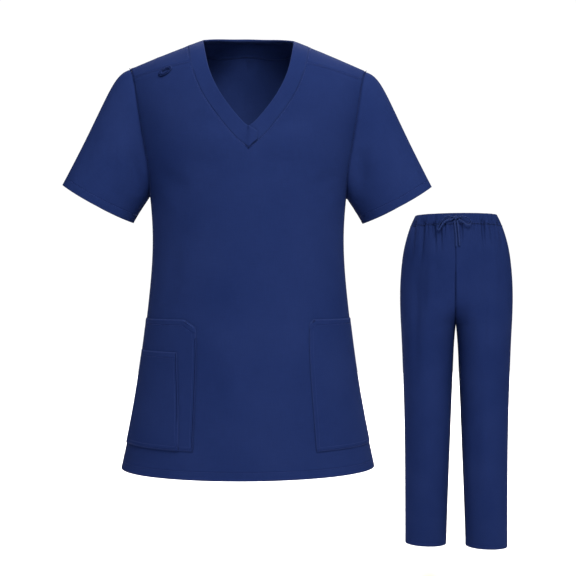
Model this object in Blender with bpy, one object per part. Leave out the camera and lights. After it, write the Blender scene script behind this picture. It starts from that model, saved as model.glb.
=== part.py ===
"""Medical scrubs: a V-neck top and drawstring pants, filled out as if worn, with nobody in them.

Metres, +Z up, both fronts face -Y. The origin is on the top's centre line, at the height where its
shoulders meet the neck, in the plane of its side seams. The pants hang beside the top and behind it.
"""

import math

import bpy
import numpy as np

# Cloth
WALL = 0.002  # a panel
PATCH_WALL = 0.0015  # a pocket, a loop or a lap, on top of a panel
SEAM_GAP = 0.0003  # between two pieces at a seam
SLEEVE_DRAW = 0.0006  # a sleeve is drawn back this far from its armhole, where the seam folds sharply
LAY_GAP = 0.0007  # between a panel and what is sewn on it
NAVY = (0.020, 0.034, 0.112)
CORD_NAVY = (0.024, 0.040, 0.125)

# Top, body. Depths are to the front and the back of the side seams.
TOP_HEM = -0.697
ARMPIT = -0.262
TORSO = (
    ("height", "half_width", "front", "back"),
    (-0.697, 0.2060, 0.124, 0.114),
    (-0.670, 0.2000, 0.123, 0.113),
    (-0.606, 0.1870, 0.121, 0.110),
    (-0.540, 0.1760, 0.119, 0.106),
    (-0.475, 0.1675, 0.117, 0.101),
    (-0.410, 0.1600, 0.116, 0.095),
    (-0.337, 0.1550, 0.117, 0.092),
    (-0.262, 0.1590, 0.119, 0.096),
    (-0.200, 0.1745, 0.119, 0.100),
    (-0.150, 0.1870, 0.117, 0.102),
    (-0.100, 0.1975, 0.114, 0.102),
    (-0.050, 0.2050, 0.111, 0.101),
    (0.030, 0.2110, 0.108, 0.100),
)
CREST = 0.0305  # the shoulders' crest where it would cross the centre line
SHOULDER_SLOPE = 0.410
CREST_BEND = 0.020
ROUNDING = {"front": 0.105, "back": 0.090}  # how far down the shoulder's round reaches
NAPE_BACK = 0.045  # the crest lies this far back at the nape
NAPE_REACH = 0.100
SIDE_SNAP = 0.0001  # a point this near to the side seam lies on it
TOP_MIDDLE = np.array((0.0, 0.0, -0.350))

# Top, cut. Each row of a table runs from the neck seam to the armhole; a way is measured down the cloth
# from the crest of the shoulder, and is negative at the back. An edge is the neck band's free one.
ROW_NAMES = ("row", "seam_x", "seam_way", "edge_x", "edge_way", "arm_x", "arm_way", "level")
FRONT_CHEST = (
    ROW_NAMES,
    (0, 0.0000, 0.2808, 0.0000, 0.2808, 0.1590, 0.2254, 0.00),
    (1, 0.0000, 0.2620, 0.0000, 0.2620, 0.1572, 0.2170, 0.00),
    (2, 0.0000, 0.2410, 0.0000, 0.2410, 0.1568, 0.2040, 0.04),
    (3, 0.0000, 0.2189, 0.0000, 0.1854, 0.1577, 0.1849, 0.10),
)
FRONT_NECK = (
    ROW_NAMES,
    (0, 0.0000, 0.2189, 0.0000, 0.1854, 0.1577, 0.1849, 0.10),
    (1, 0.0242, 0.1930, 0.0086, 0.1790, 0.1614, 0.1647, 0.25),
    (2, 0.0529, 0.1470, 0.0337, 0.1413, 0.1665, 0.1303, 0.50),
    (3, 0.0711, 0.1114, 0.0496, 0.1095, 0.1720, 0.0999, 0.70),
    (4, 0.0820, 0.0901, 0.0593, 0.0905, 0.1770, 0.0786, 0.90),
    (5, 0.0882, 0.0707, 0.0645, 0.0755, 0.1823, 0.0517, 1.00),
)
BACK_CHEST = (
    ROW_NAMES,
    (0, 0.0000, -0.2808, 0.0000, -0.2808, 0.1590, -0.2254, 0.00),
    (1, 0.0000, -0.2250, 0.0000, -0.2250, 0.1580, -0.2160, 0.00),
    (2, 0.0000, -0.1550, 0.0000, -0.1550, 0.1600, -0.1930, 0.05),
    (3, 0.0000, -0.0950, 0.0000, -0.0800, 0.1640, -0.1600, 0.15),
    (4, 0.0000, -0.0480, 0.0000, -0.0210, 0.1690, -0.1280, 0.30),
)
BACK_NECK = (
    ROW_NAMES,
    (0, 0.0000, -0.0480, 0.0000, -0.0210, 0.1690, -0.1280, 0.30),
    (1, 0.0320, -0.0470, 0.0260, -0.0170, 0.1740, -0.0980, 0.50),
    (2, 0.0640, -0.0400, 0.0480, -0.0080, 0.1800, -0.0700, 0.70),
    (3, 0.0880, -0.0230, 0.0660, -0.0020, 0.1880, -0.0380, 0.90),
    (4, 0.1000, 0.0000, 0.0745, 0.0000, 0.1930, 0.0000, 1.00),
    (5, 0.0960, 0.0400, 0.0708, 0.0420, 0.1885, 0.0290, 1.00),
    (6, 0.0882, 0.0707, 0.0645, 0.0755, 0.1823, 0.0517, 1.00),
)
LAP = (  # the band's end, laid over its start at the point of the V
    ("x", "edge_way", "seam_way"),
    (0.0000, 0.1854, 0.2189),
    (0.0075, 0.1890, 0.2095),
    (0.0130, 0.1915, 0.2055),
)
LAP_STEP = 0.004

# Top, sleeves
SLEEVE_HEM_OUTER = (0.301, -0.241)
SLEEVE_HEM_INNER = (0.186, -0.3025)
SLEEVE_HEM_DEPTH = 0.047
SLEEVE_HEM_DIP = 0.0045
CAP_LEAD = (0.985, -0.170)  # the way the cloth leaves the shoulder
CAP_REACH = 0.031
UNDERARM_LEAD = 0.33  # of the length from the armhole to the hem
HEM_LEAD = {"under": 0.50, "over": 0.75}  # how far up the sleeve its hem's direction is felt

# Top, what is sewn on
POCKET_RIGHT = (
    ("height", "inner_x"),
    (-0.654, 0.0837),
    (-0.608, 0.0812),
    (-0.561, 0.0798),
    (-0.514, 0.0790),
    (-0.467, 0.0804),
    (-0.455, 0.0984),
)
POCKET_PHONE = (
    ("height", "inner_x"),
    (-0.654, 0.1052),
    (-0.604, 0.1052),
    (-0.554, 0.1060),
    (-0.505, 0.1090),
)
POCKET_LEFT = (
    ("height", "inner_x"),
    (-0.657, 0.1029),
    (-0.616, 0.1003),
    (-0.579, 0.0966),
    (-0.515, 0.0941),
    (-0.462, 0.0924),
    (-0.455, 0.0994),
)
POCKET_STRIP = 0.003  # the least distance between a pocket's columns
POCKET_ROW = 0.010  # and between its rows
LOOP_X = -0.1285
LOOP_WAY = 0.0672
LOOP_HALF = (0.0112, 0.0050)
LOOP_HOLE = (0.0050, 0.0017)
LOOP_SIDES = 16

# Pants, in their own frame: the origin is at the centre of the waist's top edge
PANTS_PLACE = (0.6107, 1.1896, -0.1925)
PANTS_TURN = math.radians(-12.85)
WAISTBAND = 0.030
CROTCH = -0.325
FORK_TOP = -0.195  # where the seat begins to part into legs
FORK_ROUND = 0.75
PANTS_HEM = -0.970
HEM_TILT = 0.008  # the front of each hem is higher than its back
LEG_MIDDLE = (0.080, -0.450)
LEGS = (
    ("height", "outer", "inner", "front", "back"),
    (-0.970, 0.1483, 0.0276, 0.060, 0.062),
    (-0.850, 0.1486, 0.0238, 0.064, 0.067),
    (-0.700, 0.1492, 0.0177, 0.072, 0.077),
    (-0.550, 0.1522, 0.0122, 0.084, 0.091),
    (-0.430, 0.1563, 0.0070, 0.096, 0.106),
    (-0.360, 0.1592, 0.0042, 0.102, 0.115),
    (-0.325, 0.1611, 0.0000, 0.105, 0.119),
    (-0.286, 0.1629, 0.0000, 0.108, 0.123),
    (-0.216, 0.1637, 0.0000, 0.110, 0.124),
    (-0.145, 0.1592, 0.0000, 0.109, 0.118),
    (-0.109, 0.1544, 0.0000, 0.107, 0.112),
    (-0.074, 0.1466, 0.0000, 0.104, 0.106),
    (-0.050, 0.1392, 0.0000, 0.101, 0.101),
    (-0.030, 0.1326, 0.0000, 0.098, 0.096),
    (-0.015, 0.1265, 0.0000, 0.095, 0.092),
    (0.000, 0.1187, 0.0000, 0.091, 0.088),
)
GATHERS = 36  # round the waist
GATHER_DEPTH = 0.0018
GATHER_RUN = 0.045  # how far below the band they die out
GATHER_WAVES = (  # they are uneven round the waist
    ("what", "least", "most", "turns", "start"),
    ("depth", 0.24, 1.00, 5, 1.3),
    ("run", 0.30, 1.20, 7, 0.4),
)
GATHER_FACING = 1.6  # they press in more from the front and the back than from the sides
FOLD_CLEAR = 0.3  # the deeper folds fade within this share of the half width from the side seam
FOLD_IN_BAND = 0.45  # the share of a fold that the band takes
FOLD_FADE = 1.6
FOLDS = (  # the deeper ones, by their place across the front or the back
    ("side", "x", "depth", "half_width", "length"),
    ("front", -0.126, 0.0030, 0.0060, 0.080),
    ("front", -0.100, 0.0035, 0.0050, 0.110),
    ("front", -0.062, 0.0050, 0.0055, 0.115),
    ("front", -0.042, 0.0045, 0.0050, 0.085),
    ("front", 0.040, 0.0025, 0.0050, 0.060),
    ("front", 0.078, 0.0050, 0.0055, 0.075),
    ("front", 0.108, 0.0025, 0.0050, 0.060),
    ("back", -0.110, 0.0035, 0.0060, 0.080),
    ("back", -0.066, 0.0045, 0.0060, 0.110),
    ("back", -0.024, 0.0035, 0.0055, 0.075),
    ("back", 0.031, 0.0045, 0.0060, 0.095),
    ("back", 0.072, 0.0035, 0.0055, 0.120),
    ("back", 0.112, 0.0030, 0.0060, 0.070),
)

# Drawstring, in the pants' frame: routes of the cord's middle line, hand placed
CORD_RADIUS = 0.0024
KNOT_CENTRE = (0.0, -0.1003, -0.0155)
KNOT_HALF = (0.0075, 0.0045, 0.0065)
LOOP_RIGHT_ROUTE = (
    (-0.0074, -0.1015, -0.0130),
    (-0.0160, -0.1035, -0.0092),
    (-0.0260, -0.1040, -0.0096),
    (-0.0370, -0.1048, -0.0205),
    (-0.0470, -0.1050, -0.0365),
    (-0.0515, -0.1048, -0.0450),
    (-0.0482, -0.1058, -0.0485),
    (-0.0420, -0.1068, -0.0405),
    (-0.0330, -0.1058, -0.0275),
    (-0.0200, -0.1040, -0.0195),
    (-0.0074, -0.1015, -0.0182),
)
LOOP_LEFT_ROUTE = (
    (0.0072, -0.1015, -0.0125),
    (0.0180, -0.1040, -0.0118),
    (0.0290, -0.1055, -0.0142),
    (0.0385, -0.1065, -0.0200),
    (0.0432, -0.1072, -0.0282),
    (0.0395, -0.1078, -0.0345),
    (0.0310, -0.1072, -0.0345),
    (0.0190, -0.1048, -0.0260),
    (0.0072, -0.1015, -0.0188),
)
TAIL_RIGHT_ROUTE = (
    (-0.0030, -0.1018, -0.0222),
    (-0.0025, -0.1040, -0.0320),
    (-0.0005, -0.1060, -0.0500),
    (0.0010, -0.1086, -0.0720),
    (0.0015, -0.1108, -0.0960),
)
TAIL_LEFT_ROUTE = (
    (0.0035, -0.1018, -0.0217),
    (0.0055, -0.1040, -0.0320),
    (0.0078, -0.1062, -0.0500),
    (0.0096, -0.1084, -0.0720),
    (0.0110, -0.1106, -0.0945),
)

# How finely the solids are made
SHARP = math.radians(40)
KNOT_SIDES = (16, 8)
HALF_COLUMNS = 10
BODY_STRIPS = 9
BAND_STRIPS = 2
SLEEVE_STRIPS = 6
LEG_COLUMNS = 12
GATHERED_COLUMNS = 36  # a quarter of the waist
GATHERED_DROPS = (-0.030, -0.043, -0.064, -0.098)
PLAIN_DROPS = (-0.098, -0.145, -0.195, -0.235, -0.270, -0.300, -0.317, -0.325)
LEG_DROPS = (-0.325, -0.345, -0.390, -0.460, -0.560, -0.690, -0.830, -0.970)
CORD_STEP = 0.0062
OPPOSED = 0.05  # normals whose sum is shorter than this face away from each other


# ---- tables and curves ----


def named(table, name, row):
    """One named value of one row of a table."""
    return table[row + 1][table[0].index(name)]


def smooth(table, name, at):
    """A column read at any place along the first one, as a smooth curve through its rows."""
    places = np.array([row[0] for row in table[1:]], float)
    values = np.array([row[table[0].index(name)] for row in table[1:]], float)
    slopes = np.gradient(values, places)
    left = int(np.clip(np.searchsorted(places, at) - 1, 0, len(places) - 2))
    step = places[left + 1] - places[left]
    t = float(np.clip((at - places[left]) / step, 0, 1))
    start = (1 + 2 * t) * (1 - t) ** 2 * values[left] + t * (1 - t) ** 2 * step * slopes[left]
    end = t * t * (3 - 2 * t) * values[left + 1] - t * t * (1 - t) * step * slopes[left + 1]
    return float(start + end)


def between(low, high, count):
    """Even places from low to high, both ends included."""
    return [low + (high - low) * i / count for i in range(count + 1)]


def mirrored(points):
    return [np.array((-p[0], p[1], p[2])) for p in points]


def smooth_route(points, step):
    """Even points on a smooth curve through the given ones."""
    points = np.array(points, float)
    lengths = np.concatenate(([0.0], np.cumsum(np.linalg.norm(np.diff(points, axis=0), axis=1))))
    table = (("at", "x", "y", "z"),) + tuple((s, *p) for s, p in zip(lengths, points))
    count = max(4, round(lengths[-1] / step))
    return [tuple(smooth(table, axis, at) for axis in "xyz") for at in between(0, lengths[-1], count)]


# ---- open surfaces, and the walls made from them ----


def weld(grids):
    """One open surface from grids of points, joined where their points meet."""
    points, faces, known = [], [], {}

    def number(point):
        key = tuple(round(float(v), 6) for v in point)
        if key not in known:
            known[key] = len(points)
            points.append(np.array(point, float))
        return known[key]

    for grid in grids:
        rows = [[number(p) for p in row] for row in grid]
        for low, high in zip(rows, rows[1:]):
            share = (len(high) - 1) // (len(low) - 1)
            for i in range(len(low) - 1):
                top = high[i * share : (i + 1) * share + 1]
                faces.append((low[i], low[i + 1], *reversed(top)))
    return {"points": np.array(points), "faces": faces}


def face_normal(points, face):
    """A face's normal, as long as its area."""
    corners = points[list(face)]
    after = np.roll(corners, -1, axis=0)
    return 0.5 * np.cross(corners, after).sum(axis=0)


def turned_outward(surface, middle):
    """The surface with its faces looking away from a point."""
    points = surface["points"]
    outlook = sum(
        float(face_normal(points, face) @ (points[list(face)].mean(axis=0) - middle))
        for face in surface["faces"]
    )
    if outlook < 0:
        surface["faces"] = [tuple(reversed(face)) for face in surface["faces"]]
    return surface


def set_normals(surface):
    normals = np.zeros_like(surface["points"])
    for face in surface["faces"]:
        normals[list(face)] += face_normal(surface["points"], face)
    surface["normals"] = normals / np.linalg.norm(normals, axis=1)[:, None]
    return surface


def mitre(surfaces):
    """Where edges of several surfaces meet, they share one normal, so that their walls don't cross."""
    shared = {}
    for surface in surfaces:
        for point, normal in zip(surface["points"], surface["normals"]):
            key = tuple(np.round(point, 5))
            shared[key] = shared.get(key, 0) + normal
    for surface in surfaces:
        for i, point in enumerate(surface["points"]):
            total = shared[tuple(np.round(point, 5))]
            length = np.linalg.norm(total)
            surface["normals"][i] = total / length if length > OPPOSED else (0, 0, -1)


def open_edges(faces):
    """The directed edges that only one face has."""
    edges = {(a, b) for face in faces for a, b in zip(face, face[1:] + face[:1])}
    return [(a, b) for a, b in sorted(edges) if (b, a) not in edges]


def drawn_in(surface, distance):
    """The surface's points, with those on its open edges moved in from them."""
    points, normals = surface["points"], surface["normals"]
    inward = {}
    for a, b in open_edges(surface["faces"]):
        along = points[b] - points[a]
        left = np.cross(normals[a] + normals[b], along)
        left /= np.linalg.norm(left)
        for corner in (a, b):
            inward.setdefault(corner, []).append(left)
    moved = points.copy()
    for corner, ways in inward.items():
        total = sum(ways)
        moved[corner] += distance * total * len(ways) / max(float(total @ total), 1.0)
    return moved


def rim(surface, count):
    """The faces between the outer side's open edges and the inner side's. Two pieces that share an edge
    split its faces the same way."""
    faces = []
    for a, b in open_edges(surface["faces"]):
        if tuple(np.round(surface["points"][a], 5)) < tuple(np.round(surface["points"][b], 5)):
            faces += [(b, a, a + count), (b, a + count, b + count)]
        else:
            faces += [(b, a, b + count), (a, a + count, b + count)]
    return faces


def cloth(name, surface, wall, material, parent, lift=0.0, draw=SEAM_GAP / 2):
    """A closed wall: the surface, lifted and drawn in from its edges, is its outer side."""
    normals = surface["normals"]
    outer = drawn_in(surface, draw) + normals * lift
    inner = outer - normals * wall
    count = len(outer)
    faces = list(surface["faces"])
    faces += [tuple(i + count for i in reversed(face)) for face in surface["faces"]]
    faces += rim(surface, count)
    mesh = bpy.data.meshes.new(name)
    mesh.from_pydata([tuple(p) for p in np.vstack((outer, inner))], [], faces)
    mesh.validate()
    mesh.shade_smooth()
    mesh.set_sharp_from_angle(angle=SHARP)
    mesh.materials.append(material)
    piece = bpy.data.objects.new(name, mesh)
    bpy.context.collection.objects.link(piece)
    piece.parent = parent
    return piece


# ---- the top's form ----


def crest(x):
    """The height of the shoulders' crest line."""
    return CREST - SHOULDER_SLOPE * math.hypot(x, CREST_BEND)


def crest_depth(x):
    """How far behind the side seams the crest lies: only near the nape."""
    return NAPE_BACK * max(0.0, 1 - (x / NAPE_REACH) ** 2) ** 2


def torso(x, way):
    """A point of the top's outer surface: across at x, and a way down the cloth from the crest."""
    side = "front" if way >= 0 else "back"
    rounding = ROUNDING[side]
    turn = min(abs(way) / rounding, 1.0) * math.pi / 2
    height = crest(x) - (max(abs(way), rounding) - rounding * math.cos(turn))
    half = smooth(TORSO, "half_width", height)
    oval = math.sqrt(1 - (x / half) ** 2) if half - abs(x) > SIDE_SNAP else 0.0
    depth = smooth(TORSO, side, height) * oval * (-1 if side == "front" else 1)
    start = crest_depth(x)
    return np.array((x, start + (depth - start) * math.sin(turn), height))


def way_down(x, height, side):
    """The way down the cloth to a height."""
    drop = max(crest(x) - height, 0.0)
    rounding = ROUNDING[side]
    way = drop if drop > rounding else rounding * 2 / math.pi * math.acos(1 - drop / rounding)
    return way if side == "front" else -way


def torso_row(inner, outer, level, columns):
    """A row of points from one (x, way) to another. At level 0 it keeps to a straight line seen from the
    front, and at level 1 it follows the shoulder."""
    ends = [torso(*inner), torso(*outer)]
    angles = [math.asin(min(1.0, p[0] / smooth(TORSO, "half_width", p[2]))) for p in ends]
    sines = [math.sin(a) for a in between(*angles, columns)]
    side = "back" if outer[1] < 0 else "front"
    points = []
    for sine in sines:
        part = (sine - sines[0]) / (sines[-1] - sines[0])
        x = inner[0] + (outer[0] - inner[0]) * part
        along = inner[1] + (outer[1] - inner[1]) * part
        height = ends[0][2] + (ends[1][2] - ends[0][2]) * part
        straight = way_down(x, height, side)
        points.append(torso(x, straight + (along - straight) * level))
    return points


def cut_rows(table, finer=1):
    """The rows of a cut table, or ones between them too: seam, edge and armhole places, and the level."""
    names = table[0]
    last = len(table) - 2
    rows = []
    for at in between(0, last, last * finer):
        row = {name: smooth(table, name, at) for name in names[1:]}
        rows.append(
            {
                "seam": (row["seam_x"], row["seam_way"]),
                "edge": (row["edge_x"], row["edge_way"]),
                "arm": (row["arm_x"], row["arm_way"]),
                "level": row["level"],
            }
        )
    return rows


def body_rows(side, strips, columns):
    """Rows of half the body below the armpit."""
    rows = []
    for height in between(TOP_HEM, ARMPIT, strips):
        half = smooth(TORSO, "half_width", height)
        inner = (0.0, way_down(0.0, height, side))
        rows.append(torso_row(inner, (half, way_down(half, height, side)), 0.0, columns))
    return rows


def panel_rows(table, columns):
    return [torso_row(row["seam"], row["arm"], row["level"], columns) for row in cut_rows(table)]


def body_panel(side, chest, neck):
    """The front or the back panel: whole below the point of the neckline, in two parts above it."""
    low = body_rows(side, BODY_STRIPS, HALF_COLUMNS)[:-1] + panel_rows(chest, HALF_COLUMNS)
    high = panel_rows(neck, HALF_COLUMNS)
    whole = [list(reversed(mirrored(row)))[:-1] + row for row in low]
    surface = weld([whole, high, [list(reversed(mirrored(row))) for row in high]])
    return set_normals(turned_outward(surface, TOP_MIDDLE))


def armhole(side_x):
    """The ring of the armhole: up its front from the armpit, over the shoulder and down its back."""
    front = cut_rows(FRONT_CHEST) + cut_rows(FRONT_NECK)[1:]
    back = cut_rows(BACK_CHEST) + cut_rows(BACK_NECK)[1:]
    places = [row["arm"] for row in front] + [row["arm"] for row in reversed(back)][1:]
    crest_at = min(range(len(places)), key=lambda i: abs(places[i][1]))
    points = [torso(*place) * (side_x, 1, 1) for place in places]
    points[0] = points[-1] = (points[0] + points[-1]) / 2
    return points, crest_at


def sleeve(side_x):
    """A sleeve's surface, from its armhole out over the cap and down to its hem."""
    ring, crest_at = armhole(side_x)
    outer = np.array((SLEEVE_HEM_OUTER[0] * side_x, 0.0, SLEEVE_HEM_OUTER[1]))
    inner = np.array((SLEEVE_HEM_INNER[0] * side_x, 0.0, SLEEVE_HEM_INNER[1]))
    middle = (outer + inner) / 2
    across = (outer - inner) / 2
    axis = np.cross((0.0, side_x, 0.0), across)
    axis /= np.linalg.norm(axis)
    if axis[2] > 0:
        axis = -axis
    cap = np.array((CAP_LEAD[0] * side_x, 0.0, CAP_LEAD[1]))
    steps = np.concatenate(([0.0], np.cumsum(np.linalg.norm(np.diff(ring, axis=0), axis=1))))
    rows = [[] for _ in range(SLEEVE_STRIPS + 1)]
    for i, point in enumerate(ring):
        if i <= crest_at:
            angle = math.pi * (1 - steps[i] / steps[crest_at])
        else:
            angle = -math.pi * (steps[i] - steps[crest_at]) / (steps[-1] - steps[crest_at])
        bow = math.sin(angle) ** 2 * SLEEVE_HEM_DIP
        hem = middle + across * math.cos(angle) + axis * bow
        hem = hem + np.array((0.0, -SLEEVE_HEM_DEPTH * math.sin(angle), 0.0))
        upper = max(math.cos(angle), 0.0)
        length = float(np.linalg.norm(hem - point))
        lead = cap * upper + (hem - point) / length * (1 - upper)
        lead *= CAP_REACH * upper + length * UNDERARM_LEAD * (1 - upper)
        back = axis * length * (HEM_LEAD["under"] + (HEM_LEAD["over"] - HEM_LEAD["under"]) * upper)
        controls = (point, point + lead, hem - back, hem)
        for strip, t in enumerate(between(0, 1, SLEEVE_STRIPS)):
            shares = ((1 - t) ** 3, 3 * t * (1 - t) ** 2, 3 * t * t * (1 - t), t**3)
            rows[strip].append(sum(s * c for s, c in zip(shares, controls)))
    return set_normals(turned_outward(weld([rows]), (outer + np.array(ring[0])) / 2))


def band_column(row):
    """Points across the neck band, from the neck seam to the free edge."""
    seam, edge = row["seam"], row["edge"]
    return [
        torso(seam[0] + (edge[0] - seam[0]) * t, seam[1] + (edge[1] - seam[1]) * t)
        for t in between(0, 1, BAND_STRIPS)
    ]


def neck_band():
    """The band, from the point of the V round the neck and back to it, where its end laps over its start."""
    half = [band_column(row) for row in cut_rows(FRONT_NECK)]
    half += [band_column(row) for row in reversed(cut_rows(BACK_NECK)[:-1])]
    columns = half + [mirrored(column) for column in reversed(half[:-1])]
    raised = WALL + LAY_GAP
    before = 1 - LAP_STEP / abs(float(columns[-2][0][0]))
    columns.insert(-1, [a + (b - a) * before for a, b in zip(columns[-2], columns[-1])])
    columns.pop()
    for row in range(len(LAP) - 1):
        ways = between(named(LAP, "seam_way", row), named(LAP, "edge_way", row), BAND_STRIPS)
        flat = [torso(named(LAP, "x", row), way) for way in ways]
        columns.append([p + np.array((0.0, -raised, 0.0)) for p in flat])
    rows = [[column[i] for column in columns] for i in range(BAND_STRIPS + 1)]
    return set_normals(turned_outward(weld([rows]), TOP_MIDDLE))


def pocket(table, side_x, first, last=HALF_COLUMNS):
    """A patch on the front panel, from an inner edge to the side seam. Its rows and its columns, from the
    first to the last, lie on the panel's own."""
    bottom, corner, top = table[1][0], table[-2][0], table[-1][0]
    heights = [h for h in between(TOP_HEM, ARMPIT, BODY_STRIPS) if bottom + POCKET_ROW < h < corner - POCKET_ROW]
    rows = []
    for height in [bottom, *heights, corner, top]:
        half = smooth(TORSO, "half_width", height)
        columns = [half * math.sin(math.pi / 2 * i / HALF_COLUMNS) for i in range(first, last + 1)]
        inner = smooth(table, "inner_x", height)
        places = [inner] + [max(x, inner + POCKET_STRIP * (i + 1)) for i, x in enumerate(columns)]
        points = [torso(x, way_down(x, height, "front")) for x in places]
        rows.append([p * (side_x, 1, 1) for p in points])
    return set_normals(turned_outward(weld([rows]), TOP_MIDDLE))


def badge_loop():
    """A flat oval loop that hangs from the forward shoulder seam."""
    rows = []
    for half_x, half_z in (LOOP_HOLE, LOOP_HALF):
        ring = []
        for angle in between(0, 2 * math.pi, LOOP_SIDES):
            x = LOOP_X + half_x * math.cos(angle)
            ring.append(torso(x, LOOP_WAY + half_z * math.sin(angle)))
        rows.append(ring)
    return set_normals(turned_outward(weld([rows]), TOP_MIDDLE))


# ---- the pants' form ----


def fork(height):
    """How far the seat has parted into legs: 0 above the fork, 1 from the crotch down."""
    depth = min(max((FORK_TOP - height) / (FORK_TOP - CROTCH), 0.0), 1.0)
    return 1 - (1 - depth * depth) ** FORK_ROUND


def fullest(part):
    """The greatest depth, for a depth of 1, of a section that lies between the seat's and the legs'."""
    angles = between(0, math.pi / 2, 12)
    return max((1 - part) * math.cos(angle / 2) + part * math.sin(angle) for angle in angles)


def pants_plain(side, angle, height):
    """A point of a smooth quarter of the pants, x positive: angle 0 is the centre seam, or the inseam,
    and pi is the side seam."""
    forward = -1 if side == "front" else 1
    outer = smooth(LEGS, "outer", height)
    inner = smooth(LEGS, "inner", height) if height < CROTCH else 0.0
    depth = smooth(LEGS, side, height) * forward
    seat = (outer * math.sin(angle / 2), depth * math.cos(angle / 2))
    middle, half = (outer + inner) / 2, (outer - inner) / 2
    leg = (middle - half * math.cos(angle), depth * math.sin(angle))
    part = fork(height)
    x = seat[0] + (leg[0] - seat[0]) * part
    y = (seat[1] + (leg[1] - seat[1]) * part) / fullest(part)
    down = max(0.0, (CROTCH - height) / (CROTCH - PANTS_HEM))
    rise = -HEM_TILT / 2 * down**4 * forward * math.sin(angle)
    return np.array((x, y, height + rise))


def uneven(row, around):
    """What varies round the waist: a smooth wave from the least to the most."""
    least, most = named(GATHER_WAVES, "least", row), named(GATHER_WAVES, "most", row)
    wave = math.sin(named(GATHER_WAVES, "turns", row) * around + named(GATHER_WAVES, "start", row))
    return (least + most + (most - least) * wave) / 2


def gathered(side, side_x, angle, height):
    """How far in the cloth lies at a place of the waist, for its gathers and its deeper folds."""
    around = side_x * (angle / 2 if side == "front" else math.pi - angle / 2)
    below = max(0.0, -WAISTBAND - height)
    run = GATHER_RUN * uneven(1, around)
    wave = 0.5 - 0.5 * math.cos(GATHERS * around)
    depth = GATHER_DEPTH * uneven(0, around) * wave * math.exp(-((below / run) ** 2))
    x = side_x * smooth(LEGS, "outer", height) * math.sin(angle / 2)
    off_seam = min(1.0, math.cos(angle / 2) / FOLD_CLEAR)
    held = FOLD_IN_BAND if height > -WAISTBAND else 1.0
    for fold_side, place, fold_depth, half_width, length in FOLDS[1:]:
        if fold_side == side:
            fade = off_seam * held * math.exp(-((below / length * FOLD_FADE) ** 2))
            depth += fold_depth * fade * math.exp(-(((x - place) / half_width) ** 2))
    return depth


def pants_point(side, side_x, angle, height):
    """A point of the pants' outer surface, gathers included."""
    point = pants_plain(side, angle, height)
    if height > FORK_TOP:
        outward = np.array((point[0], point[1] * GATHER_FACING, 0.0))
        outward /= np.linalg.norm(outward)
        point = point - outward * gathered(side, side_x, angle, height)
    return point * (side_x, 1, 1)


def pants_row(side, side_x, height, columns):
    return [pants_point(side, side_x, angle, height) for angle in between(0, math.pi, columns)]


def pants_panel(side, side_x):
    """A quarter of the pants: one leg's front or back, from the hem to the waistband."""
    gathers = [pants_row(side, side_x, height, GATHERED_COLUMNS) for height in GATHERED_DROPS]
    plain = [pants_row(side, side_x, height, LEG_COLUMNS) for height in PLAIN_DROPS[1:]]
    leg = [pants_row(side, side_x, height, LEG_COLUMNS) for height in LEG_DROPS[1:]]
    rows = list(reversed(leg)) + list(reversed(plain)) + list(reversed(gathers))
    middle = np.array((LEG_MIDDLE[0] * side_x, 0.0, LEG_MIDDLE[1]))
    return set_normals(turned_outward(weld([rows]), middle))


def waistband():
    """The gathered ring round the waist."""
    rows = []
    for height in between(-WAISTBAND, 0.0, 2):
        quarters = [
            pants_row("front", 1, height, GATHERED_COLUMNS),
            list(reversed(pants_row("back", 1, height, GATHERED_COLUMNS))),
            pants_row("back", -1, height, GATHERED_COLUMNS),
            list(reversed(pants_row("front", -1, height, GATHERED_COLUMNS))),
        ]
        rows.append([point for quarter in quarters for point in quarter[:-1]] + [quarters[0][0]])
    return set_normals(turned_outward(weld([rows]), np.array((0.0, 0.0, -WAISTBAND / 2))))


# ---- objects ----


def cloth_material(name, colour, roughness):
    material = bpy.data.materials.new(name)
    material.use_nodes = True
    shader = material.node_tree.nodes["Principled BSDF"]
    shader.inputs["Base Color"].default_value = (*colour, 1.0)
    shader.inputs["Roughness"].default_value = roughness
    shader.inputs["Metallic"].default_value = 0.0
    return material


def frame_empty(name, place=(0.0, 0.0, 0.0), turn=0.0):
    empty = bpy.data.objects.new(name, None)
    empty.location = place
    empty.rotation_euler.z = turn
    bpy.context.collection.objects.link(empty)
    return empty


def cord(name, route, material, parent):
    curve = bpy.data.curves.new(name, "CURVE")
    curve.dimensions = "3D"
    curve.bevel_depth = CORD_RADIUS
    curve.bevel_resolution = 2
    curve.use_fill_caps = True
    line = curve.splines.new("POLY")
    points = smooth_route(route, CORD_STEP)
    line.points.add(len(points) - 1)
    for point, place in zip(line.points, points):
        point.co = (*place, 1.0)
    curve.materials.append(material)
    piece = bpy.data.objects.new(name, curve)
    bpy.context.collection.objects.link(piece)
    piece.parent = parent


def knot(name, material, parent):
    """The bow's knot, a flattened ball."""
    bpy.ops.object.select_all(action="DESELECT")
    bpy.ops.mesh.primitive_uv_sphere_add(segments=KNOT_SIDES[0], ring_count=KNOT_SIDES[1], radius=1.0)
    piece = bpy.context.object
    piece.name = piece.data.name = name
    for vertex in piece.data.vertices:
        vertex.co = [c * half for c, half in zip(vertex.co, KNOT_HALF)]
    piece.data.shade_smooth()
    piece.data.materials.append(material)
    piece.location = KNOT_CENTRE
    piece.parent = parent


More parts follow.
